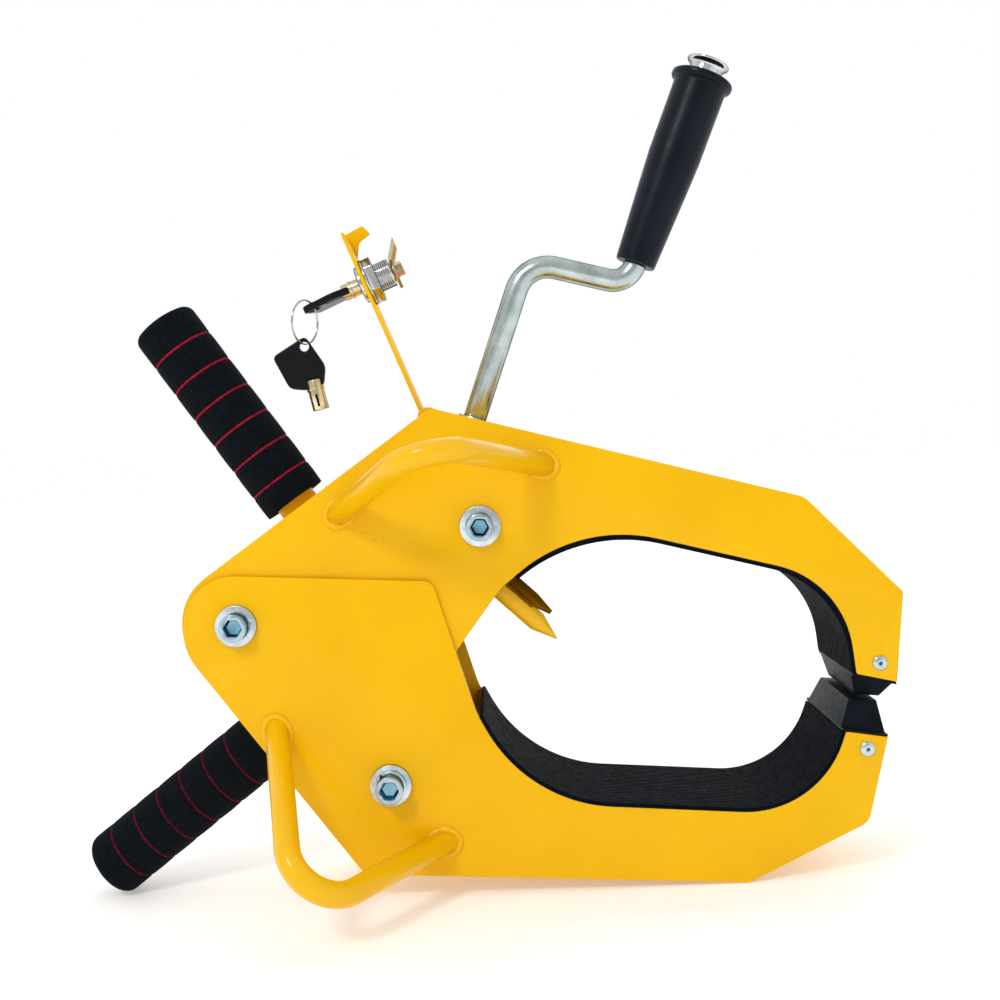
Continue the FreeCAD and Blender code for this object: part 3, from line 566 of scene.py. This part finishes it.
# ---- jaws ----
def ribbed_lining(node, half):
    """Rubber lining, half wide each way, with fine ribs that run along the tyre opening."""
    work = cleaned(node)
    count = int(2 * half / RIB_PITCH)
    start = -count * RIB_PITCH / 2
    origin, across = TO_ROW @ Vector((0, 0, 0)), Vector((0, 1, 0))
    for k in range(count):
        for share in RIB_CUTS:
            spot = origin + across * (start + (k + share) * RIB_PITCH) * 0.001
            bmesh.ops.bisect_plane(work, geom=work.verts[:] + work.edges[:] + work.faces[:],
                                   dist=1e-7, plane_co=spot, plane_no=across)
    middle = TO_ROW @ Vector((TYRE_CENTRE[0], 0, TYRE_CENTRE[1]))
    pushes = {}
    for face in work.faces:
        inward = middle - face.calc_center_median()
        inward.y = 0
        if face.normal.dot(inward.normalized()) < 0.5:
            continue
        for vert in face.verts:
            pushes[vert] = pushes.get(vert, Vector()) + face.normal
    for vert, push in pushes.items():
        share = ((vert.co.y - origin.y) * 1000 - start) / RIB_PITCH % 1.0
        if RIB_VALLEY[0] < share < RIB_VALLEY[1]:
            vert.co -= push.normalized() * RIB_DEPTH * 0.001
    finished(node + "_ribbed", unloaded(work, node), BODY_OF[node], "lining_rubber",
             stands_for=[node], sharp=28.0)


def jaws():
    """Welded sheet-steel jaws with coated, slightly rounded edges, and their linings."""
    for jaw in ("upper", "lower"):
        softened(jaw + "_front_plate", 1.0, segments=3)
        softened(jaw + "_rear_plate", 1.0, segments=3)
        # The bands between the plates take the dark copy of the paint: painted shade.
        softened(jaw + "_band", 0.3, material=PAINTED_SHADE_YELLOW)
        softened(jaw + "_rim", 0.35)
        softened(jaw + "_tip_cap", 0.9, segments=3)
        softened(jaw + "_tip_rivets", 0.25)
    ribbed_lining("upper_lining", UPPER_FACE)
    ribbed_lining("lower_lining", LOWER_FACE)


def weld_bead(path, size, seed, closed=True):
    """Swept bead with the ripples of a hand-laid weld, as a grid for joined."""
    travelled, last, radii = 0.0, path[0], []
    for point in path:
        travelled += (point - last).length
        last = point
        wave = math.sin(2 * math.pi * travelled / BEAD_RIPPLE)
        drift = noise.noise(Vector((travelled * 0.15, seed, 0.0)))
        radii.append(size * (1 + 0.06 * wave + 0.3 * drift))
    return (swept(path, radii, 10, closed), TO_ROW, closed)


def handle_welds():
    """Beads round the four feet of the bar handles."""
    for jaw, (start, apex, end, face) in HANDLES.items():
        top = Vector((apex[0], -HANDLE_REACH - face, apex[1]))
        beads = []
        for seed, foot in enumerate((start, end)):
            base = Vector((foot[0], -face, foot[1]))
            axis = (top - base).normalized()
            leaning = Vector((axis.x, 0, axis.z)).normalized()
            crosswise = Vector((-leaning.z, 0, leaning.x))
            long_radius = HANDLE_R / abs(axis.y) + 0.2
            loop = [base + leaning * long_radius * cosine + crosswise * (HANDLE_R + 0.2) * sine
                    for cosine, sine in around(96)]
            beads.append(weld_bead(loop, HANDLE_BEAD, seed + len(jaw)))
        finished(jaw + "_handle_welds", joined(jaw + "_handle_welds", beads), jaw + "_jaw",
                 "yellow_paint", GLOSSY_PAINT)


def grip_welds():
    """Bead round the foot of each grip tube, on the jaw's rim."""
    for jaw, (foot, lean, _, _) in FOAM_GRIPS.items():
        base = Matrix.Translation((foot[0], 0, foot[1])) @ Matrix.Rotation(math.radians(lean), 4, "Y")
        loop = [base @ Vector((TUBE_R * cosine, TUBE_R * sine, -RIM_INSET + 0.6))
                for cosine, sine in around(120)]
        bead = weld_bead(loop, 2.2, 3.0)
        finished(jaw + "_grip_weld", joined(jaw + "_grip_weld", [bead]), jaw + "_jaw",
                 "yellow_paint")


def spatter():
    """Small drops of weld spatter under the paint, below the upper handle's left foot."""
    draw = random.Random(7)
    foot = HANDLES["upper"][0]
    drops = []
    for _ in range(SPATTER_DROPS):
        x = foot[0] + draw.uniform(6.0, 30.0)
        z = foot[1] - draw.uniform(8.0, 22.0) - (x - foot[0]) * 0.15
        size = draw.uniform(0.5, 1.1)
        profile = [(0.01, size * 0.4), (size * 0.6, size * 0.3), (size * 1.1, size * 0.1),
                   (size * 1.5, -0.1)]
        place = TO_ROW @ Matrix.Translation((x, -UPPER_FACE, z)) @ Matrix.Rotation(math.pi / 2, 4, "X")
        drops.append((lathe(profile, 16), place, False))
    finished("weld_spatter", joined("weld_spatter", drops), "upper_jaw", "yellow_paint", sharp=80.0)


def stitch_welds():
    """Short beads in the corners between each jaw's rim and side plates."""
    for jaw, chain, inside, turn in (("upper", UPPER_RIM, UPPER_INSIDE, -1),
                                     ("lower", LOWER_RIM, LOWER_INSIDE, 1)):
        beads = []
        for number, (start, end) in enumerate(zip(chain, chain[1:])):
            run = Vector((end[0] - start[0], 0, end[1] - start[1]))
            length = run.length
            step = run.normalized()
            normal = Vector((-step.z, 0, step.x)) * turn * RIM_INSET
            for k in range(max(1, int(length / STITCH_PITCH))):
                for side in (-1, 1):
                    begin = STITCH_START + k * STITCH_PITCH + STITCH_STAGGER * (side > 0)
                    if begin + STITCH_LENGTH > length - STITCH_MARGIN:
                        continue
                    corner = Vector((start[0], side * inside, start[1])) + normal
                    path = [corner + step * (begin + i * 0.5)
                            for i in range(int(STITCH_LENGTH / 0.5) + 1)]
                    beads.append(weld_bead(path, 1.9, number + k + side, closed=False))
        finished(jaw + "_stitch_welds", joined(jaw + "_stitch_welds", beads), jaw + "_jaw",
                 "yellow_paint")


# ---- bolts ----
def thread(low, high, major, pitch, depth, segments=48, flat=None):
    """Rows of a helical thread up Z, optionally with two milled flats."""
    steps = 8
    count = int(round((high - low) / pitch * steps))
    profile = [(major, low + (high - low) * i / count) for i in range(count + 1)]

    def radius(r, z, turn):
        phase = (z / pitch - turn / (2 * math.pi)) % 1.0
        cut = depth * (1 - min(1.0, 2.4 * abs(phase - 0.5)))
        near_end = min(1.0, (z - low) / pitch, (high - z) / pitch)
        reach = r - max(cut, depth * (1 - near_end))
        return min(reach, flat / max(abs(math.cos(turn)), 1e-6)) if flat else reach
    return lathe(profile, segments, radius)


def socket_head(bolt, centre, face):
    """Widen the mouth of a cap screw's hexagon socket into a countersink, and give the socket a darker blue zinc,
    painted shade of the recess.
    """
    to_design = TO_ROW.inverted()
    axis = Vector((centre[0], 0, centre[1]))
    spots = [to_design @ vert.co - axis for vert in bolt.data.vertices]
    front = min(spot.y for spot in spots)
    inside = {i for i, spot in enumerate(spots)
              if math.hypot(spot.x, spot.z) < SOCKET_REACH and spot.y < -face}
    for i in inside:
        if spots[i].y < front + MOUTH_DEPTH:
            wide = Vector((spots[i].x * MOUTH_FLARE, spots[i].y, spots[i].z * MOUTH_FLARE))
            bolt.data.vertices[i].co = TO_ROW @ (wide + axis)
    bolt.data.materials.append(SOCKET_SHADE_BLUE)
    for polygon in bolt.data.polygons:
        if all(i in inside for i in polygon.vertices):
            polygon.material_index = 1


def bolts():
    """Cap screws, washers and nuts of the three cross bolts, with their threads and nylon rings."""
    for name, centre, face, body in (("pivot", (0.0, 0.0), LOWER_FACE, "lower_jaw"),
                                     ("upper", UPPER_BOLT, UPPER_FACE, "upper_jaw"),
                                     ("lower", LOWER_BOLT, LOWER_FACE, "lower_jaw")):
        socket_head(softened(name + "_bolt", 0.55, segments=3, material=BOLT_ZINC), centre, face)
        softened(name + "_bolt_washers", 0.4)
        softened(name + "_bolt_nut", 0.6)
        to_rear = (TO_ROW @ Matrix.Translation((centre[0], 0, centre[1]))
                   @ Matrix.Rotation(-math.pi / 2, 4, "X"))
        ring = [(radius, face + height) for radius, height in NYLON_RING]
        insert = (lathe(ring, 48), to_rear, True)
        finished(name + "_nylon_insert", joined(name + "_insert", [insert]), body, "bright_zinc", NYLON)
    softened("lower_spring_washer", 0.3)


# ---- screw drive ----
def screw():
    """Closing screw: journal, collar, trapezoidal thread and hexagonal drive end."""
    bearing = -SCREW_SPAN
    top = bearing + THRUST_HALF
    place = leaned(SCREW_FOOT, SCREW_LEAN)
    end, low, high = bearing - JOURNAL_END, top + COLLAR_LOW, top + COLLAR_HIGH
    journal = rounded([(0.01, end), (JOURNAL_R, end), (JOURNAL_R, low), (COLLAR_R, low),
                       (COLLAR_R, high), (0.01, high)], 0.5)
    spiral = thread(top + 5.5, HEX_LOW, SCREW_R, SCREW_PITCH, THREAD_DEPTH)
    corner = HEX_AF / math.sqrt(3)
    drive = rounded([(0.01, HEX_LOW - 1.0), (corner, HEX_LOW - 1.0), (corner, HEX_HIGH),
                     (0.01, HEX_HIGH)], 0.8, 2)
    grids = [(lathe(journal), place, False), (spiral, place, False), (lathe(drive, 6), place, False)]
    finished("screw_threaded", joined("screw_threaded", grids), "screw", "machined_steel",
             stands_for=["screw"])
    for node in ("nut_block", "thrust_block"):
        softened(node, 0.6)
    for node in ("screw_retaining_nut", "thrust_washer"):
        softened(node, 0.4)


def crank():
    """Cranked rod with its socket, the turned grip and the push-on end cap."""
    softened("crank_rod", 0.4, angle=50.0)
    softened("crank_socket", 0.6)
    place = leaned(along(GRIP_FOOT, GRIP_LEAN, GRIP_START + 0.2), GRIP_LEAN)
    grip = (lathe(rounded(GRIP_SHAPE, 1.1, 5), 96), place, True)
    finished("crank_grip_moulded", joined("crank_grip", [grip]), "crank_grip", "grip_plastic",
             stands_for=["crank_grip"], sharp=50.0)
    place = leaned(along(GRIP_FOOT, GRIP_LEAN, GRIP_START + GRIP_LENGTH + 0.5), GRIP_LEAN)
    cap = (lathe(rounded(CAP_SHAPE, 0.6, 3), 72), place, False)
    finished("crank_end_cap_pressed", joined("crank_end_cap", [cap]), "crank", "chrome",
             stands_for=["crank_end_cap"], sharp=50.0)


# ---- foam grips ----
def foam_profile(edges):
    """Sleeve outline: slightly swollen segments, grooves between them and a domed closed end."""
    steps = 22
    low, high = edges[0], edges[-1]
    profile = [(TUBE_R + 0.2, low + 0.3), (FOAM_R - 1.4, low + 0.1)]
    for start, end in zip(edges, edges[1:]):
        for i in range(steps + 1):
            z = start + (end - start) * i / steps
            edge = min(z - start if start > low else math.inf, end - z)
            swell = FOAM_SWELL * math.sin(math.pi * i / steps) - FOAM_SINK
            groove = GROOVE_DEPTH * max(0.0, 1 - edge / GROOVE_HALF) ** 2
            dome = 0.0
            if high - z < DOME_R:
                dome = DOME_R - math.sqrt(max(0.0, DOME_R ** 2 - (DOME_R - high + z) ** 2))
                groove = 0.0
            profile.append((FOAM_R + swell - groove - dome, z))
    profile += [(FOAM_R - 9.0, high), (0.01, high - 0.1)]
    return profile


def foam_grips():
    """Foam sleeves with their red rings, on the tubes."""
    for number, (jaw, (foot, lean, low, high)) in enumerate(FOAM_GRIPS.items()):
        place = leaned(foot, lean)
        first, pitch = FOAM_RINGS[jaw]
        heights = [first + k * pitch for k in range(RING_COUNT)]

        def lumpy(r, z, turn, seed=float(number)):
            spot = Vector((math.cos(turn) * 1.2, math.sin(turn) * 1.2, z * 0.06 + seed * 9.0))
            return r - LUMP * abs(noise.noise(spot)) * (r > TUBE_R + 1)
        profile = foam_profile([low] + heights + [high])
        sleeve = joined(jaw + "_foam", [(lathe(profile, 96, lumpy), place, False)])
        piece = finished(jaw + "_foam_sleeve", sleeve, jaw + "_jaw", "grip_foam",
                         stands_for=[jaw + "_foam_grip"], sharp=60.0)
        rings = []
        for z in heights:
            band = [(FOAM_R - 3.0, z - 0.95), (FOAM_R - 0.75, z - 0.8), (FOAM_R - 0.45, z),
                    (FOAM_R - 0.75, z + 0.8), (FOAM_R - 3.0, z + 0.95)]
            rings.append((lathe(band, 96, lumpy), place, True))
        bands = finished(jaw + "_foam_rings", joined(jaw + "_foam_rings", rings), jaw + "_jaw",
                         "grip_foam", RING_RED[jaw], sharp=60.0)
        softened(jaw + "_grip_tube", 0.5)


# ---- bar handles ----
def handles():
    """Bar handles: the CAD bars with smoothed coating."""
    for jaw in ("upper", "lower"):
        softened(jaw + "_handle", 0.3, angle=60.0, material=GLOSSY_PAINT)


# ---- spike ----
def spike():
    """Pointed bar and its bracket plate, with the welds between them."""
    softened("spike", 0.4, angle=24.0, material=GLOSSY_PAINT)
    # The bracket and the spike's welds take the dark copy of the paint: painted shade.
    softened("spike_bracket", 0.5, material=PAINTED_SHADE_YELLOW)
    place = (Matrix.Translation((UPPER_BOLT[0], 0, UPPER_BOLT[1]))
             @ Matrix.Rotation(math.radians(SPIKE_LEAN), 4, "Y"))
    beads = []
    for side in (-1, 1):
        x, y = SPIKE_TUBE_R + PLATE + 0.8, SPIKE_Y + side * SPIKE_WELD_GAP
        path = [place @ Vector((x, y, 8.0 + i * 0.5)) for i in range(96)]
        beads.append(weld_bead(path, 1.2, 4 + side, closed=False))
    finished("spike_welds", joined("spike_welds", beads), "upper_jaw", "yellow_paint", PAINTED_SHADE_YELLOW)


# ---- lock ----
def lock():
    """Flap with its hinge, and the cam lock through it."""
    softened("flap_plate", 0.5, material=MATT_PAINT)
    softened("flap_hinge_ears", 0.5)
    softened("flap_hinge_pin", 0.7)
    softened("lock_washer", 0.35)
    softened("lock_nut", 0.7)
    softened("lock_plug", 0.25)
    softened("lock_cam", 0.45)
    softened("lock_cam_nut", 0.4)
    place = leaned(LOCK_FOOT, LOCK_LEAN)
    head = rounded([(PLUG_R, -3.6), (9.6, -3.7), (11.4, -3.1), (11.5, -1.1), (LOCK_R - 0.1, -1.0),
                    (LOCK_R - 0.1, 2.2), (PLUG_R, 2.2)], 0.35, 3)
    barrel = thread(2.0, 17.7, LOCK_R - 0.05, LOCK_THREAD_PITCH, LOCK_THREAD_DEPTH, 72, LOCK_FLAT)
    bore = [[(PLUG_R * cosine, PLUG_R * sine, z) for cosine, sine in around(72)]
            for z in (17.9, 2.0)]
    grids = [(lathe(head, 72), place, True), (barrel + bore, place, True)]
    finished("lock_body_threaded", joined("lock_body", grids), "lock_flap", SLOT_OF["lock_body"],
             stands_for=["lock_body"])


def split_ring():
    """Two turns of wire side by side, as a split key ring has. Returns its centre."""
    across = RING_R * math.sin(math.radians(RING_SEAT))
    up = RING_R * math.cos(math.radians(RING_SEAT))
    turn = math.radians(RING_TURN)
    centre = Vector((KEY_HOLE[0] - across * math.cos(turn), -across * math.sin(turn), KEY_HOLE[1] - up))
    place = TO_ROW @ Matrix.Translation(centre) @ Matrix.Rotation(turn, 4, "Z")
    path = []
    steps = 220
    for i in range(steps + 1):
        share = i / steps
        angle = 4 * math.pi * share + 0.8
        shift = RING_OFFSET * math.tanh((share - 0.5) * 16)
        path.append(Vector((RING_R * math.cos(angle), shift, RING_R * math.sin(angle))))
    grid = (swept(path, RING_WIRE_R * 0.5, 10), place, False)
    finished("key_ring_split", joined("key_ring", [grid]), "key_ring", SLOT_OF["key_ring"],
             stands_for=["key_ring"], sharp=60.0)
    return centre


def key_bow(node, place, hole):
    """Moulded key head with rounded edges and a ring hole, (x, z, radius) in the key's own frame."""
    curve = bpy.data.curves.new(node, "CURVE")
    curve.dimensions = "2D"
    curve.fill_mode = "BOTH"
    curve.bevel_depth = BOW_EDGE
    curve.bevel_resolution = 3
    curve.extrude = BOW_T / 2 - BOW_EDGE
    curve.offset = -BOW_EDGE
    middle = ((BOW[0][0] + BOW[-1][0]) / 2, (BOW[0][1] + BOW[-1][1]) / 2)
    edge = rounded([middle] + BOW + [middle], BOW_ROUND, 6)[:-1]
    x, z, radius = hole
    rim = [(x + radius * cosine, z + radius * sine) for cosine, sine in around(40)]
    for points in (edge, rim):
        spline = curve.splines.new("POLY")
        spline.points.add(len(points) - 1)
        for target, (across, up) in zip(spline.points, points):
            target.co = (across, up, 0.0, 1.0)
        spline.use_cyclic_u = True
    piece = bpy.data.objects.new(node + "_work", curve)
    bpy.context.scene.collection.objects.link(piece)
    mesh = evaluated(piece)
    mesh.transform(place @ Matrix.Rotation(math.pi / 2, 4, "X"))
    finished(node + "_moulded", mesh, BODY_OF[node], "key_plastic", stands_for=[node], sharp=50.0)


def key_details(prefix, body, place):
    """Plain raised panel on both faces of the key head, and the metal collar below it."""
    middle = Vector(PANEL_MIDDLE)
    grids = []
    for side in (-1, 1):
        rows = []
        for lift, inset in ((BOW_T / 2 - 0.3, 0.0), (BOW_T / 2 + 0.12, 0.0), (BOW_T / 2 + 0.3, 0.35)):
            row = []
            for corner in PANEL:
                inner = middle + (Vector(corner) - middle) * (1 - inset / PANEL_SIZE)
                row.append((inner.x, side * lift, inner.y))
            rows.append(row)
        grids.append((rows, place, False))
    finished(prefix + "_panels", joined(prefix + "_panels", grids), body, "key_plastic", sharp=20.0)
    low, high = KEY_COLLAR
    ring = rounded([(KEY_OUT - 0.2, low), (KEY_COLLAR_R, low), (KEY_COLLAR_R, high),
                    (KEY_OUT - 0.2, high)], 0.3, 3)
    collar = (lathe(ring, 48), place, True)
    finished(prefix + "_collar", joined(prefix + "_collar", [collar]), body, "key_steel")


def keys():
    """Key in the lock, the split ring and the spare key on it."""
    centre = split_ring()
    for node in ("key_shank", "spare_key_shank"):
        softened(node, 0.3)
    place = leaned(KEY_HOLE, LOCK_LEAN) @ Matrix.Rotation(math.pi / 2, 4, "Z")
    key_bow("key_head", place, (0.0, 0.0, KEY_HOLE_R))
    key_details("key", "key", place)
    spare = (centre.x, centre.z - RING_R + RING_WIRE_R + 0.7 - KEY_HOLE_R)
    place = leaned(spare, SPARE_LEAN, centre.y)
    lift = KEY_HOLE_R - SPARE_HOLE_R
    turn = math.radians(SPARE_LEAN)
    key_bow("spare_key_head", place, (-math.sin(turn) * lift, math.cos(turn) * lift, SPARE_HOLE_R))
    key_details("spare_key", "spare_key", place)
    # The slot is a thin black strip on the shank's face: painted shade where the groove is.
    half = KEY_SLOT_HALF
    outline = ((-half, -KEY_OUT + 0.3), (half, -KEY_OUT + 0.3), (half, -KEY_OUT - 0.03),
               (0.0, -KEY_OUT - 0.08), (-half, -KEY_OUT - 0.03))
    slot = [[(x, y, z) for x, y in outline] for z in KEY_SLOT]
    finished("spare_key_slot", joined("spare_key_slot", [(slot, place, False)]), "spare_key",
             "key_steel", SLOT_SHADE_BLACK)


def carried_over():
    """CAD nodes that keep their own shape get their slot's finished material."""
    for name, node in frame["nodes"].items():
        if not node.hide_render:
            for slot in node.material_slots:
                slot.material = MATERIALS[SLOT_OF[name]]


# ---- studio ----
LIGHTS_AIM = Vector((0.0, 0.0, 0.2))
LIGHTS = (("key", (-0.9, -1.5, 1.7), 0.5, 16.0, (1.0, 0.99, 0.97)),
          ("fill", (1.6, -1.3, 0.7), 1.6, 2.0, (0.95, 0.97, 1.0)),
          ("back", (0.4, 1.7, 1.5), 1.6, 5.0, (1.0, 1.0, 1.0)))
FLOOR_RADIUS = 7.0
FLOOR_DROP = 0.0004
FLOOR_GLOW = 0.24


def studio():
    """Pale floor, a world that is a little dimmer in front, and three soft lights."""
    bpy.ops.mesh.primitive_circle_add(vertices=96, radius=FLOOR_RADIUS, fill_type="NGON",
                                      location=(0, 0, -FLOOR_DROP))
    floor = bpy.context.object
    floor.name = "floor"
    surface = Finish("studio_floor", Roughness=0.7, Specular_IOR_Level=0.15)
    surface.mottle(surface.grain(0.4), (0.9, 0.9, 0.9, 1), (0.92, 0.92, 0.92, 1))
    surface.shader.inputs["Emission Color"].default_value = (1, 1, 1, 1)
    surface.shader.inputs["Emission Strength"].default_value = FLOOR_GLOW
    floor.data.materials.append(surface.material)

    world = bpy.data.worlds.new("studio")
    bpy.context.scene.world = world
    world.use_nodes = True
    tree = world.node_tree
    split = tree.nodes.new("ShaderNodeSeparateXYZ")
    fade = tree.nodes.new("ShaderNodeMapRange")
    for label, value in (("From Min", -0.9), ("From Max", 0.3), ("To Min", 0.6), ("To Max", 1.0)):
        fade.inputs[label].default_value = value
    tree.links.new(tree.nodes.new("ShaderNodeTexCoord").outputs["Generated"], split.inputs["Vector"])
    tree.links.new(split.outputs["Y"], fade.inputs["Value"])
    tree.links.new(fade.outputs["Result"], tree.nodes["Background"].inputs["Strength"])
    tree.nodes["Background"].inputs["Color"].default_value = (1.0, 1.0, 1.0, 1)

    for name, place, size, power, tint in LIGHTS:
        light = bpy.data.lights.new(name, "AREA")
        light.shape = "DISK"
        light.size = size
        light.energy = power
        light.color = tint
        lamp = bpy.data.objects.new(name, light)
        lamp.location = place
        lamp.rotation_euler = (LIGHTS_AIM - Vector(place)).to_track_quat("-Z", "Y").to_euler()
        bpy.context.scene.collection.objects.link(lamp)

    bpy.context.scene.view_settings.view_transform = "Standard"


CAMERA_SPOT = (150.7, -741.0, 116.8)
CAMERA_ROLL = TIP - 1.18
CAMERA_LENS = 43.45
CAMERA_SHIFT = -0.07


def camera():
    """Camera square to the clamp's front plates, rolled a little as in the photographed view."""
    lens = bpy.data.cameras.new("camera")
    lens.lens = CAMERA_LENS
    lens.sensor_width = 36.0
    lens.shift_y = CAMERA_SHIFT
    viewer = bpy.data.objects.new("camera", lens)
    roll = math.radians(CAMERA_ROLL)
    right = Vector((math.cos(roll), 0, -math.sin(roll)))
    up = Vector((math.sin(roll), 0, math.cos(roll)))
    back = Vector((0, -1, 0))
    spot = TO_ROW @ Vector(CAMERA_SPOT)
    viewer.matrix_world = Matrix(((right.x, up.x, back.x, spot.x), (right.y, up.y, back.y, spot.y),
                                  (right.z, up.z, back.z, spot.z), (0, 0, 0, 1)))
    bpy.context.scene.collection.objects.link(viewer)
    bpy.context.scene.camera = viewer


jaws()
handle_welds()
grip_welds()
spatter()
stitch_welds()
bolts()
screw()
crank()
foam_grips()
handles()
spike()
lock()
keys()
carried_over()
studio()
camera()
